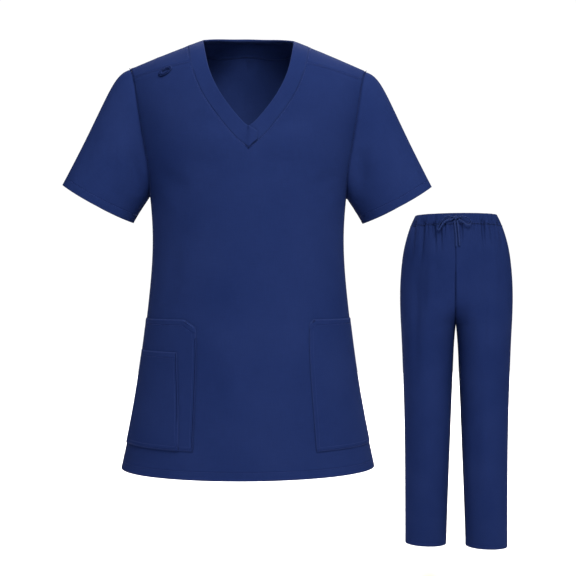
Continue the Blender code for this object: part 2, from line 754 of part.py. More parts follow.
def build_top(fabric):
    parent = frame_empty("top")
    surfaces = {
        "top_front": body_panel("front", FRONT_CHEST, FRONT_NECK),
        "top_back": body_panel("back", BACK_CHEST, BACK_NECK),
        "sleeve_right": sleeve(-1),
        "sleeve_left": sleeve(1),
        "neck_band": neck_band(),
    }
    mitre(list(surfaces.values()))
    for name, surface in surfaces.items():
        draw = SLEEVE_DRAW if name.startswith("sleeve") else SEAM_GAP / 2
        cloth(name, surface, WALL, fabric, parent, draw=draw)
    on_panel = LAY_GAP + PATCH_WALL
    cloth("pocket_right", pocket(POCKET_RIGHT, -1, 3), PATCH_WALL, fabric, parent, on_panel)
    cloth("pocket_phone", pocket(POCKET_PHONE, -1, 4, HALF_COLUMNS - 1), PATCH_WALL, fabric, parent, 2 * on_panel)
    cloth("pocket_left", pocket(POCKET_LEFT, 1, 4), PATCH_WALL, fabric, parent, on_panel)
    cloth("badge_loop", badge_loop(), PATCH_WALL, fabric, parent, on_panel)


def build_pants(fabric, cord_cloth):
    parent = frame_empty("pants", PANTS_PLACE, PANTS_TURN)
    surfaces = {
        "pants_front_right": pants_panel("front", -1),
        "pants_front_left": pants_panel("front", 1),
        "pants_back_right": pants_panel("back", -1),
        "pants_back_left": pants_panel("back", 1),
        "waistband": waistband(),
    }
    mitre(list(surfaces.values()))
    for name, surface in surfaces.items():
        cloth(name, surface, WALL, fabric, parent)
    knot("drawstring_knot", cord_cloth, parent)
    cord("drawstring_loop_right", LOOP_RIGHT_ROUTE, cord_cloth, parent)
    cord("drawstring_loop_left", LOOP_LEFT_ROUTE, cord_cloth, parent)
    cord("drawstring_tail_right", TAIL_RIGHT_ROUTE, cord_cloth, parent)
    cord("drawstring_tail_left", TAIL_LEFT_ROUTE, cord_cloth, parent)


def main():
    for piece in list(bpy.data.objects):
        bpy.data.objects.remove(piece)
    build_top(cloth_material("navy_poplin", NAVY, 0.85))
    build_pants(cloth_material("navy_poplin_pants", NAVY, 0.85), cloth_material("navy_cord", CORD_NAVY, 0.8))


if __name__ == "__main__":
    main()
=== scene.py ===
"""Looks of the medical scrubs: a V-neck top and drawstring pants in navy poplin.

Each panel is the outer side of its solid, cut out, pressed and sewn: creased, rolled in at its seams, turned
up at its hems, and given the thickness of cloth. Metres, +Z up, the fronts face -Y.
"""

import math

import bpy
import numpy as np
from mathutils import Matrix, Vector
from mathutils.bvhtree import BVHTree
from mathutils.kdtree import KDTree


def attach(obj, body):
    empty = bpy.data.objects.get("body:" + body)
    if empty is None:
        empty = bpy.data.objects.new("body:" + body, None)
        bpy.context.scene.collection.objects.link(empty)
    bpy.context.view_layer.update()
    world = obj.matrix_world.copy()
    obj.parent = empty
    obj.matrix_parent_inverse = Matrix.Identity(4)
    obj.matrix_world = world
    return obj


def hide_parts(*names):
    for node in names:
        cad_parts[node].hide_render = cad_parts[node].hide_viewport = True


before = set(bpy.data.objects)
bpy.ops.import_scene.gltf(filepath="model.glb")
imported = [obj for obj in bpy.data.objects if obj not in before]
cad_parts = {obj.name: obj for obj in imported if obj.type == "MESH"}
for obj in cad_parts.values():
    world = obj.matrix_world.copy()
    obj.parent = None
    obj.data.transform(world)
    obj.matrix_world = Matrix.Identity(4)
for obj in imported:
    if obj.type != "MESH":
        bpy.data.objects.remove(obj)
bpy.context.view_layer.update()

# ---- sizes, in metres ----

CLOTH = 0.0009  # the shell's thickness
TOP_SEAM = 0.0005  # how deep a seam's groove is
PANTS_SEAM = 0.0007
SEAM_REACH = 0.0100  # two panels' edges that lie closer than this are sewn together
SHORTEST_HEM = 0.080  # free edges that hang together over less than this are a seam's ends, and stay flat
MARKS_PER_EDGE = 8
CORNER_TURN = 0.80  # cosine of the turn past which an edge has a corner
EDGE_STRIP = 0.0020  # the strip of faces along an edge
TOP_EDGE_STRIP = 0.0009  # narrower than the top's narrowest faces
LAYER_GAP = 0.0003  # between a panel and its turned hem
RIM_TURN = 0.50  # cosine of the turn between two faces that parts a wall's side from its rim
EASING = 3  # rounds of smoothing over a panel's facets
WELD = 1e-6  # a solid's points that are nearer than this are one point
QUAD_LIMITS = {"face_threshold": math.radians(50), "shape_threshold": math.radians(60)}

TOP_HEM_WIDTH = 0.013
SLEEVE_HEM_WIDTH = 0.013
BAND_FACING = 0.008
POCKET_HEM_WIDTH = 0.009
POCKET_TOPS = {"pocket_right": -0.4685, "pocket_phone": -0.5065, "pocket_left": -0.4635}
POCKET_PRESS = {"pocket_right": 0.0009, "pocket_phone": 0.0018, "pocket_left": 0.0009}
BADGE_LOOP_PRESS = 0.0009
SIDE_SEAMS_TOP = -0.20  # under the arm; the forward seams lie above it
ARM_SEAM_REACH = 0.0012  # how near the middle plane the points of the seam under an arm are
ARM_SEAM_SIDE = 0.20  # how far out to the side it runs
PANTS_PLACE = (0.6107, 1.1896, -0.1925)
PANTS_TURN = math.radians(-12.85)
PANTS_HEM_WIDTH = 0.010
WAISTBAND_HEM_WIDTH = 0.006
GATHERED_TO = -0.165  # the cloth has a finer mesh above this height in the pants
BACK_SEAM_REACH = 0.0008
OUTER_SEAM_SIDE = 0.10  # the outer side seams lie farther out than this

# Points inside each tube or pair of panels, from which their outer sides look away
TOP_MIDDLE = (0.0, 0.0, -0.350)
SLEEVE_MIDDLE = (0.22, 0.0, -0.20)
LEG_MIDDLE = (0.08, 0.0, -0.45)
WAISTBAND_MIDDLE = (0.0, 0.0, -0.015)

SEAM_ROW = 0.0017  # a row of topstitching beside a seam
TWIN_ROW = 0.0066  # the second row of a pair
WAISTBAND_ROW = 0.0022
ROW_REACH = 0.0016  # how far to each side a row draws the cloth in, and how far its painted shade reaches
STITCH_LENGTH = 0.0026
STITCH_GAP = 0.0011
STITCH_THICK = 0.00042
STITCH_DIP = 0.35  # at its ends, as a share of its thickness
STITCH_LIFT = 0.22  # off the cloth, as a share of its thickness
SHORTEST_ROW = 6  # a row beside fewer points than this isn't stitched

# Soft folds, in millimetres. A line runs from one (x, z) to the other; it is that deep in the
# middle and that wide to each side, and bows sideways. A negative depth is a trough. A held fold starts at
# full depth, and a free one fades at both ends.
MM = 0.001
FOLD_COLUMNS = ("x", "z", "end_x", "end_z", "depth", "half_width", "bow")
TOP_FOLDS = {
    ("front", "free"): (
        (-54, -160, -56, -215, 3.0, 30, 0),
        (54, -160, 56, -215, 3.0, 30, 0),
        (-148, -225, -92, -262, -1.6, 10, 4),
        (-150, -245, -105, -300, 1.3, 9, 3),
        (148, -228, 98, -258, -1.4, 9, -4),
        (150, -250, 110, -312, 1.2, 10, -3),
        (-112, -330, -126, -450, -1.3, 12, 4),
        (116, -345, 128, -440, -1.2, 12, -3),
        (-30, -470, -44, -660, 1.6, 20, 4),
        (36, -500, 58, -675, 1.4, 18, -4),
        (4, -430, 2, -600, -1.0, 16, 3),
    ),
    ("back", "free"): (
        (-150, -230, -82, -275, -2.2, 11, 6),
        (-152, -262, -100, -330, 1.8, 11, 4),
        (150, -236, 90, -270, -2.0, 10, -5),
        (152, -270, 92, -352, 1.7, 12, -4),
        (-45, -330, -62, -520, -2.0, 14, 6),
        (52, -350, 60, -560, -1.8, 15, -7),
        (4, -380, -6, -650, 2.0, 20, 5),
        (-98, -430, -124, -670, 1.8, 18, -5),
        (104, -450, 130, -660, 1.6, 17, 6),
        (-70, -85, -120, -150, -1.2, 14, 4),
        (74, -90, 116, -165, -1.1, 13, -3),
    ),
}
SLEEVE_FOLDS = {
    ("front", "free"): (
        (-184, -185, -174, -262, -4.2, 10, 0),
        (-206, -150, -200, -262, 2.0, 13, 3),
        (-240, -150, -262, -248, -1.3, 10, -2),
        (184, -185, 174, -262, -4.0, 10, 0),
        (208, -148, 204, -255, 1.8, 13, -3),
        (244, -165, 258, -250, -1.2, 11, 2),
    ),
    ("back", "free"): (
        (-188, -180, -176, -262, -4.0, 11, 0),
        (-222, -140, -232, -255, 2.0, 14, 3),
        (186, -185, 175, -260, -4.0, 10, 0),
        (228, -150, 222, -250, 1.8, 13, -3),
    ),
}
PANTS_FOLDS = {
    ("front", "held"): (
        (-64, -30, -56, -125, -7.8, 3.8, 1.5),
        (-44, -30, -41, -118, -8.0, 3.6, 1.0),
        (-33, -30, -32, -92, -5.0, 3.4, 1.0),
        (-16, -36, -15, -80, -3.6, 3.2, 0),
        (15, -30, 18, -100, -5.8, 3.4, 1.0),
        (77, -26, 85, -125, -8.2, 4.0, -1.5),
        (99, -30, 102, -100, -7.8, 4.2, 1.0),
        (-95, -30, -101, -165, -9.2, 6.0, 2.0),
        (48, -32, 50, -95, -4.6, 4.2, 1.0),
        (124, -30, 131, -122, -7.4, 5.0, 2.0),
        (-121, -30, -129, -140, -7.6, 5.5, 2.0),
        (-80, -32, -82, -74, -3.6, 3.6, 0.5),
        (-108, -32, -111, -80, -3.4, 4.0, 0.8),
        (64, -30, 66, -70, -3.4, 3.4, 0.5),
        (111, -30, 115, -78, -3.6, 3.8, 0.6),
    ),
    ("front", "free"): (
        (-127, 4, -129, -36, -1.6, 3.2, 0),
        (-115, 4, -116, -36, -1.8, 3.0, 0.4),
        (-102, 2, -103, -38, -1.4, 2.8, 0),
        (-88, 3, -87, -36, -1.9, 3.2, 0.3),
        (-73, 2, -73, -38, -1.5, 2.7, 0),
        (-59, 3, -60, -37, -2.0, 3.1, 0.4),
        (50, 3, 51, -37, -1.7, 2.8, 0.2),
        (59, 2, 59, -36, -2.0, 3.0, 0),
        (69, 3, 70, -38, -1.6, 2.7, 0.3),
        (81, 2, 81, -36, -2.1, 3.1, 0),
        (93, 4, 94, -38, -1.5, 2.9, 0.2),
        (105, 3, 106, -37, -1.9, 3.2, 0),
        (118, 3, 119, -36, -1.6, 3.0, 0.3),
        (129, 4, 131, -36, -1.7, 3.2, 0),
        (-69, -60, -80, -380, 4.2, 14, 3),
        (-108, -110, -112, -500, -4.6, 12, -3),
        (76, -120, 82, -440, -3.6, 11, 3),
        (38, -110, 40, -320, 3.0, 14, 2),
        (106, -60, 112, -260, 2.6, 11, 2),
        (-85, -420, -90, -900, 2.0, 16, 4),
        (90, -440, 86, -930, 2.0, 15, -4),
        (-123, -560, -124, -860, -1.4, 12, 3),
        (52, -580, 50, -880, -1.3, 12, 3),
    ),
    ("back", "held"): (
        (-98, -30, -102, -125, -7.0, 4.0, 1.5),
        (-76, -32, -77, -80, -4.0, 3.6, 0.5),
        (-52, -30, -56, -110, -7.4, 3.8, 1.0),
        (-30, -32, -28, -90, -4.8, 3.6, 1.0),
        (-8, -32, -8, -72, -3.4, 3.4, 0),
        (22, -30, 20, -115, -6.8, 3.8, 1.0),
        (49, -32, 56, -88, -5.2, 3.8, 1.5),
        (69, -32, 70, -74, -3.6, 3.4, 0.5),
        (90, -28, 95, -128, -7.4, 4.0, -1.5),
        (118, -30, 125, -98, -4.4, 4.4, 1.0),
        (-12, -300, -80, -352, -3.4, 10, 5),
        (12, -304, 70, -366, -3.2, 9.5, -5),
        (-14, -325, -56, -420, -2.4, 9, 3),
    ),
    ("back", "free"): (
        (-118, 4, -119, -36, -1.7, 3.1, 0.3),
        (-90, 3, -89, -38, -2.0, 3.2, 0),
        (-66, 3, -67, -36, -1.6, 2.9, 0.2),
        (-42, 2, -41, -37, -1.9, 3.1, 0),
        (-19, 3, -19, -36, -1.5, 2.8, 0.3),
        (7, 3, 8, -38, -1.9, 3.1, 0),
        (34, 2, 33, -36, -1.6, 2.9, 0.2),
        (59, 4, 60, -37, -2.0, 3.2, 0),
        (80, 3, 80, -36, -1.5, 2.8, 0.3),
        (106, 3, 107, -38, -1.8, 3.1, 0),
        (-75, -110, -86, -290, 2.0, 15, 4),
        (68, -120, 80, -300, 1.8, 14, -4),
        (-110, -400, -92, -560, -2.2, 13, -4),
        (112, -410, 90, -590, -2.0, 13, 4),
        (-60, -520, -98, -560, 1.8, 11, 3),
        (56, -540, 96, -575, 1.8, 11, -3),
        (-83, -600, -90, -900, 2.0, 16, 4),
        (85, -620, 88, -930, 2.0, 15, -3),
    ),
}

# Drawstring, in the pants' frame: a flat braid's half width and half thickness
CORD_HALF = (0.0024, 0.0012)
CORD_SIDES = 12
CORD_STEP = 0.0020
CORDS = {
    "drawstring_loop_right": {
        "route": (
            (-0.0074, -0.1015, -0.0130),
            (-0.0160, -0.1035, -0.0092),
            (-0.0260, -0.1040, -0.0096),
            (-0.0370, -0.1048, -0.0205),
            (-0.0470, -0.1050, -0.0365),
            (-0.0515, -0.1048, -0.0450),
            (-0.0482, -0.1058, -0.0485),
            (-0.0420, -0.1068, -0.0405),
            (-0.0330, -0.1058, -0.0275),
            (-0.0200, -0.1040, -0.0195),
            (-0.0074, -0.1015, -0.0182),
        ),
        "length": 0.1242,
        "far_end": "object",
        "twist": (20, 55, 75, 60, 10, -15, 10),
    },
    "drawstring_loop_left": {
        "route": (
            (0.0072, -0.1015, -0.0125),
            (0.0180, -0.1040, -0.0118),
            (0.0290, -0.1055, -0.0142),
            (0.0385, -0.1065, -0.0200),
            (0.0432, -0.1072, -0.0282),
            (0.0395, -0.1078, -0.0345),
            (0.0310, -0.1072, -0.0345),
            (0.0190, -0.1048, -0.0260),
            (0.0072, -0.1015, -0.0188),
        ),
        "length": 0.0889,
        "far_end": "object",
        "twist": (-15, -50, -70, -55, -10, 20, 5),
    },
    "drawstring_tail_right": {
        "route": (
            (-0.0030, -0.1018, -0.0222),
            (-0.0025, -0.1040, -0.0320),
            (-0.0005, -0.1060, -0.0500),
            (0.0010, -0.1086, -0.0720),
            (0.0015, -0.1108, -0.0960),
        ),
        "length": 0.0750,
        "far_end": "bare",
        "twist": (10, 0, -20, -10, 5),
    },
    "drawstring_tail_left": {
        "route": (
            (0.0035, -0.1018, -0.0217),
            (0.0055, -0.1040, -0.0320),
            (0.0078, -0.1062, -0.0500),
            (0.0096, -0.1084, -0.0720),
            (0.0110, -0.1106, -0.0945),
        ),
        "length": 0.0740,
        "far_end": "bare",
        "twist": (-10, 5, 25, 15, 0),
    },
}
BRAID_ROUND = 0.012  # the braid's pattern, all round the cord
KNOT_CENTRE = (0.0, -0.1003, -0.0155)
# The cord's turns round the knot and its core, all from the knot's centre
KNOT_TURNS = (
    {"off": (0.0004, -0.0004, 0.0), "depth": 0.0040, "height": 0.0052, "lean": math.radians(14)},
    {"off": (-0.0016, 0.0004, 0.0004), "depth": 0.0032, "height": 0.0042, "lean": math.radians(-24)},
)
KNOT_CORE = ((-0.0076, -0.0010, 0.0014), (0.0, -0.0004, 0.0), (0.0074, -0.0010, 0.0012))
KNOT_CORE_HALF = (0.0026, 0.0022)
KNOT_STEP = 0.0015
TURN_STEPS = 28
BUTTONHOLE = (0.0135, -0.0150)  # x and z of each, in the waistband
BUTTONHOLE_HALF = (0.0019, 0.0062)
BUTTONHOLE_STITCHES = 40
SATIN_STITCH = (0.7, 1.5, 1.5)  # beside a stitch of a row
SATIN_LIFT = 0.0001

pants_matrix = Matrix.Translation(PANTS_PLACE) @ Matrix.Rotation(PANTS_TURN, 4, "Z")
pants_from_world = pants_matrix.inverted()

# ---- camera and light ----

CAMERA_PLACE = (0.0, -1.5014, -0.407)
CAMERA_YAW = math.radians(-2.45)
LENS = 57.5
SENSOR = 36.0


def rgb(hex_colour):
    """A linear colour from an sRGB hex value."""
    channels = [int(hex_colour[i : i + 2], 16) / 255 for i in (0, 2, 4)]
    linear = [c / 12.92 if c <= 0.04045 else ((c + 0.055) / 1.055) ** 2.4 for c in channels]
    return (*linear, 1.0)


def add_object(name, data):
    added = bpy.data.objects.new(name, data)
    bpy.context.scene.collection.objects.link(added)
    return added


def camera():
    data = bpy.data.cameras.new("camera")
    data.lens = LENS
    data.sensor_width = SENSOR
    eye = add_object("camera", data)
    eye.location = CAMERA_PLACE
    eye.rotation_euler = (math.radians(90), 0.0, CAMERA_YAW)
    bpy.context.scene.camera = eye


def area_light(name, place, target, size, power, colour):
    data = bpy.data.lights.new(name, "AREA")
    data.shape = "DISK"
    data.size = size
    data.energy = power
    data.color = rgb(colour)[:3]
    lamp = add_object(name, data)
    lamp.location = place
    way = Vector(target) - Vector(place)
    lamp.rotation_euler = way.to_track_quat("-Z", "Y").to_euler()


camera()
area_light("key_light", (-0.1, -1.8, 1.5), (0.0, 0.0, -0.30), 1.1, 72, "fff1dc")
area_light("pants_key_light", (0.9, -1.4, 1.9), (0.65, 1.19, -0.6), 1.2, 128, "fff1dc")
area_light("floor_light", (0.5, 5.0, 3.6), (0.5, 5.6, -1.2), 6.0, 700, "ffffff")


def add_node(owner, kind, settings=None, links=None):
    """Adds a node, sets its properties or inputs, and links its inputs from other nodes' outputs. An input
    is named, or numbered where names repeat."""
    node = owner.node_tree.nodes.new(kind)
    for name, value in (settings or {}).items():
        if isinstance(name, int) or name in node.inputs:
            node.inputs[name].default_value = value
        else:
            setattr(node, name, value)
    for name, output in (links or {}).items():
        owner.node_tree.links.new(output, node.inputs[name])
    return node


def maths(owner, operation, *values):
    """The result of a sum on other nodes' outputs and on numbers."""
    numbers = {i: value for i, value in enumerate(values) if isinstance(value, float)}
    outputs = {i: value for i, value in enumerate(values) if i not in numbers}
    return add_node(owner, "ShaderNodeMath", {"operation": operation, **numbers}, outputs).outputs[0]


def studio_sky():
    """A white studio whose two side walls are darker, so that the cloth falls off into soft shade at its
    sides."""
    world = bpy.data.worlds.new("studio")
    bpy.context.scene.world = world
    world.use_nodes = True
    light = world.node_tree.nodes["Background"]
    light.inputs["Color"].default_value = rgb("ffffff")
    place = add_node(world, "ShaderNodeTexCoord").outputs["Generated"]
    parts = add_node(world, "ShaderNodeSeparateXYZ", {}, {"Vector": place}).outputs
    fall = {"From Min": 0.34, "From Max": 0.74, "To Min": 1.04, "To Max": 0.04}
    shade = add_node(world, "ShaderNodeMapRange", fall, {"Value": maths(world, "ABSOLUTE", parts["X"])})
    world.node_tree.links.new(shade.outputs["Result"], light.inputs["Strength"])


studio_sky()
bpy.context.scene.view_settings.view_transform = "Standard"

# ---- materials ----


def new_material(name, specular):
    material = bpy.data.materials.new(name)
    material.use_nodes = True
    shader = material.node_tree.nodes["Principled BSDF"]
    shader.inputs["Specular IOR Level"].default_value = specular
    return material


def link_shader(material, links):
    shader = material.node_tree.nodes["Principled BSDF"]
    for name, output in links.items():
        material.node_tree.links.new(output, shader.inputs[name])


def noise(material, place, scale, detail=3.0, roughness=0.5):
    settings = {"Scale": scale, "Detail": detail, "Roughness": roughness}
    return add_node(material, "ShaderNodeTexNoise", settings, {"Vector": place}).outputs["Fac"]


def colour_ramp(material, factor, *stops):
    """The colour for a factor, between stops that are each a place and a colour."""
    ramp = add_node(material, "ShaderNodeValToRGB", {}, {"Fac": factor})
    for element, (place, colour) in zip(ramp.color_ramp.elements, stops):
        element.position = place
        element.color = rgb(colour)
    return ramp.outputs["Color"]


def tint(material, base, colour, mask, share):
    """Mixes a share of a colour into the base where the mask is."""
    settings = {"data_type": "RGBA", 7: rgb(colour)}
    links = {0: maths(material, "MULTIPLY", mask, share), 6: base}
    return add_node(material, "ShaderNodeMix", settings, links).outputs[2]


THREAD_PITCH = 0.0011  # poplin's threads are 0.3 mm apart; drawn coarser, or they would be too fine to show


def poplin_cloth():
    """Poly-cotton poplin, dyed navy and pressed: a fine plain weave that is quite matt, with slightly uneven
    yarns. Its folded and sewn edges are painted a little paler, partly rubbed wear and partly painted
    highlight, and it is painted darker beside its rows of stitching: painted shade in the grooves that they
    draw in."""
    material = new_material("navy_poplin_plain_weave", 0.015)
    place = add_node(material, "ShaderNodeTexCoord").outputs

    # Threads over and under, on the panel's own pattern
    threads = []
    for way in ("X", "Y"):
        wave = {"bands_direction": way, "Scale": math.pi / (10 * THREAD_PITCH), "Distortion": 0.4}
        threads.append(add_node(material, "ShaderNodeTexWave", wave, {"Vector": place["UV"]}).outputs["Fac"])
    weave = maths(material, "MULTIPLY", *threads)

    # Yarns that run thick and thin: stretched noise along the warp and along the weft
    yarns = []
    for scale in ((700, 45, 1), (45, 700, 1)):
        run = add_node(material, "ShaderNodeMapping", {"Scale": scale}, {"Vector": place["UV"]})
        yarns.append(noise(material, run.outputs["Vector"], 1.0, 2.0, 0.6))
    halves = {"data_type": "FLOAT", 0: 0.5}
    slubs = add_node(material, "ShaderNodeMix", halves, {2: yarns[0], 3: yarns[1]}).outputs[0]

    # The dye is a touch uneven over a hand's width; the folded and sewn edges are painted paler, partly
    # rubbed wear and partly painted highlight
    dyed = colour_ramp(material, noise(material, place["Object"], 9.0), (0.30, "111e46"), (0.72, "15224b"))
    thread_tone = colour_ramp(material, slubs, (0.35, "e9e9ee"), (0.68, "ffffff"))
    over = {"data_type": "RGBA", "blend_type": "MULTIPLY", 0: 1.0}
    toned = add_node(material, "ShaderNodeMix", over, {6: dyed, 7: thread_tone}).outputs[2]
    edge = add_node(material, "ShaderNodeAttribute", {"attribute_name": "edge"}).outputs["Fac"]
    # painted paler at the edges: partly rubbed wear, partly painted highlight on the seam ridges
    wear_and_highlight = tint(material, toned, "222f58", edge, 0.35)

    # A row of stitching draws the cloth in along it, and the cloth is painted darker there: painted shade in
    # the groove
    near = {"interpolation_type": "SMOOTHSTEP", "From Max": ROW_REACH, "To Min": 1.0, "To Max": 0.0}
    drawn = []
    for row in ("hem_row", "seam_row"):
        way = add_node(material, "ShaderNodeAttribute", {"attribute_name": row}).outputs["Fac"]
        off = {"Value": maths(material, "ABSOLUTE", way)}
        drawn.append(add_node(material, "ShaderNodeMapRange", near, off).outputs["Result"])
    rows = maths(material, "MAXIMUM", *drawn)
    # painted shade along each row of stitching
    with_painted_row_shade = tint(material, wear_and_highlight, "0a153b", rows, 0.35)
    matt = {"From Min": 0.3, "From Max": 0.7, "To Min": 0.82, "To Max": 0.94}
    roughness = add_node(material, "ShaderNodeMapRange", matt, {"Value": slubs}).outputs["Result"]

    relief = None
    for height, strength, distance, inwards in (
        (noise(material, place["Object"], 28.0), 0.35, 0.0012, False),
        (rows, 0.60, 0.0006, True),
        (slubs, 0.35, 0.0003, False),
        (weave, 0.45, 0.0002, False),
    ):
        bump = {"Strength": strength, "Distance": distance, "invert": inwards}
        below = {"Height": height} if relief is None else {"Height": height, "Normal": relief}
        relief = add_node(material, "ShaderNodeBump", bump, below).outputs["Normal"]
    link_shader(material, {"Base Color": with_painted_row_shade, "Roughness": roughness, "Normal": relief})
    return material


def sewing_thread():
    """Spun polyester thread, dyed to match: smoother and a little brighter than the cloth."""
    material = new_material("navy_polyester_thread_spun", 0.15)
    ply = noise(material, add_node(material, "ShaderNodeTexCoord").outputs["Object"], 2500.0, 1.0)
    tone = colour_ramp(material, ply, (0.0, "142355"), (1.0, "20306a"))
    shine = add_node(material, "ShaderNodeMapRange", {"To Min": 0.50, "To Max": 0.65}, {"Value": ply})
    link_shader(material, {"Base Color": tone, "Roughness": shine.outputs["Result"]})
    return material


BRAID_PITCH = 0.0018  # a braid's strands cross about every millimetre; drawn coarser, to show


def braided_cord():
    """Flat braided polyester drawstring, dyed navy: strands that cross in a herringbone, softly shiny, and
    painted darker where they sink between each other, as painted shade in the hollows.
    """
    material = new_material("navy_polyester_cord_flat_braid", 0.04)
    place = add_node(material, "ShaderNodeTexCoord").outputs["UV"]
    wave = {"bands_direction": "X", "Scale": math.pi / (10 * BRAID_PITCH)}
    strands = []
    for lean in (45, -45):
        turn = {"Rotation": (0, 0, math.radians(lean))}
        turned = add_node(material, "ShaderNodeMapping", turn, {"Vector": place}).outputs["Vector"]
        strands.append(add_node(material, "ShaderNodeTexWave", wave, {"Vector": turned}).outputs["Fac"])
    crossing = maths(material, "MAXIMUM", *strands)
    # painted shade: the braid is darker in the hollows between its strands
    tone = colour_ramp(material, crossing, (0.0, "0e1a40"), (1.0, "18264f"))
    soft = {"To Min": 0.72, "To Max": 0.58}
    shine = add_node(material, "ShaderNodeMapRange", soft, {"Value": crossing}).outputs["Result"]
    raised = {"Strength": 0.6, "Distance": 0.0003}
    relief = add_node(material, "ShaderNodeBump", raised, {"Height": crossing}).outputs["Normal"]
    link_shader(material, {"Base Color": tone, "Roughness": shine, "Normal": relief})
    return material


def painted_board():
    """Painted board, matt and nearly white."""
    material = new_material("white_painted_board_matt", 0.1)
    shader = material.node_tree.nodes["Principled BSDF"]
    shader.inputs["Base Color"].default_value = rgb("f6f6f6")
    shader.inputs["Roughness"].default_value = 0.9
    return material


poplin = poplin_cloth()
thread = sewing_thread()
braid = braided_cord()

# ---- cutting a panel from its solid ----


def activate(piece):
    bpy.ops.object.select_all(action="DESELECT")
    bpy.context.view_layer.objects.active = piece
    piece.select_set(True)


def edit_all(piece):
    """Enters edit mode with everything selected."""
    activate(piece)
    bpy.ops.object.mode_set(mode="EDIT")
    bpy.ops.mesh.select_all(action="SELECT")


def leave_edit():
    bpy.ops.object.mode_set(mode="OBJECT")


def choose(piece, kind, chosen):
    """Enters edit mode with just these faces, edges or points selected."""
    edit_all(piece)
    bpy.ops.mesh.select_mode(type=kind)
    bpy.ops.mesh.select_all(action="DESELECT")
    leave_edit()
    parts = {"FACE": piece.data.polygons, "EDGE": piece.data.edges, "VERT": piece.data.vertices}[kind]
    parts.foreach_set("select", list(chosen))
    bpy.ops.object.mode_set(mode="EDIT")


def node_copy(node, name):
    """A free copy of a solid, with its triangles joined into quads."""
    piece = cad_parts[node].copy()
    piece.data = piece.data.copy()
    piece.name = piece.data.name = name
    piece.parent = None
    for key in list(piece.keys()):
        del piece[key]
    bpy.context.scene.collection.objects.link(piece)
    activate(piece)
    bpy.ops.mesh.customdata_custom_splitnormals_clear()
    edit_all(piece)
    bpy.ops.mesh.remove_doubles(threshold=WELD)
    bpy.ops.mesh.mark_sharp(clear=True)
    bpy.ops.mesh.tris_convert_to_quads(**QUAD_LIMITS)
    leave_edit()
    return piece


def faces_by_edge(mesh):
    faces = {}
    for face in mesh.polygons:
        for edge in face.edge_keys:
            faces.setdefault(edge, []).append(face.index)
    return faces


def outer_faces(mesh, middle):
    """The faces of a closed wall's outer side: of the groups that meet only at its sharp rims, the one
    that looks away from the middle."""
    by_edge = faces_by_edge(mesh)
    left = set(range(len(mesh.polygons)))
    groups = []
    while left:
        group, ahead = [], [left.pop()]
        while ahead:
            face = mesh.polygons[ahead.pop()]
            group.append(face)
            for edge in face.edge_keys:
                for other in by_edge[edge]:
                    if other in left and face.normal.dot(mesh.polygons[other].normal) > RIM_TURN:
                        left.remove(other)
                        ahead.append(other)
        groups.append(group)

    def outlook(group):
        return sum(face.area * face.normal.dot(face.center - Vector(middle)) for face in group)

    return {face.index for face in max(groups, key=outlook)}


def lay_flat(mesh):
    """Scales the pattern to its real size and turns it so that its length runs along the garment's."""
    uv = np.zeros(len(mesh.loops) * 2)
    mesh.uv_layers.active.data.foreach_get("uv", uv)
    uv = uv.reshape(-1, 2)
    middles = []
    heights = []
    areas = []
    flat = 0.0
    for face in mesh.polygons:
        corners = uv[list(face.loop_indices)]
        after = np.roll(corners, -1, axis=0)
        flat += abs(float((corners[:, 0] * after[:, 1] - after[:, 0] * corners[:, 1]).sum())) / 2
        middles.append(corners.mean(axis=0))
        heights.append(face.center.z)
        areas.append(face.area)
    share = np.sqrt(np.array(areas) / sum(areas))
    centre = (np.array(middles) * share[:, None] ** 2).sum(axis=0)
    level = float((np.array(heights) * share**2).sum())
    off = (np.array(middles) - centre) * share[:, None]
    rise = np.linalg.lstsq(off, (np.array(heights) - level) * share, rcond=None)[0]
    up = rise / np.linalg.norm(rise)
    across = np.array((up[1], -up[0]))
    scale = math.sqrt(sum(areas) / flat)
    placed = np.stack(((uv - centre) @ across, (uv - centre) @ up), axis=1) * scale
    mesh.uv_layers.active.data.foreach_set("uv", placed.ravel())


def cut_out(node, middle, seam=None):
    """The outer side of a solid as an open sheet, unwrapped to its flat pattern in metres. A tube is cut
    open along its seam, a test of an edge's two ends."""
    piece = node_copy(node, "cloth_" + node)
    keep = outer_faces(piece.data, middle)
    choose(piece, "FACE", [i not in keep for i in range(len(piece.data.polygons))])
    bpy.ops.mesh.delete(type="FACE")
    bpy.ops.mesh.select_all(action="SELECT")
    bpy.ops.mesh.fill_holes(sides=4)
    leave_edit()
    mesh = piece.data
    if seam:
        for edge in mesh.edges:
            edge.use_seam = all(seam(mesh.vertices[v].co) for v in edge.vertices)
    edit_all(piece)
    bpy.ops.uv.unwrap(method="ANGLE_BASED", margin=0.0)
    leave_edit()
    lay_flat(mesh)
    return piece


def open_edges(mesh):
    """The edges that only one face has, with that face."""
    return {edge: faces[0] for edge, faces in faces_by_edge(mesh).items() if len(faces) == 1}


def neighbours(edges):
    """For each point, the other ends of its edges."""
    beside = {}
    for a, b in edges:
        beside.setdefault(a, []).append(b)
        beside.setdefault(b, []).append(a)
    return beside


def keep_corners(mesh):
    """Creases the points where an open edge turns sharply, so that rounding leaves them in place."""
    sharp = np.zeros(len(mesh.vertices))
    for v, ends in neighbours(open_edges(mesh)).items():
        arms = [(mesh.vertices[end].co - mesh.vertices[v].co).normalized() for end in ends[:2]]
        if len(arms) == 2 and -arms[0].dot(arms[1]) < CORNER_TURN:
            sharp[v] = 1.0
    put_attribute(mesh, "crease_vert", sharp)


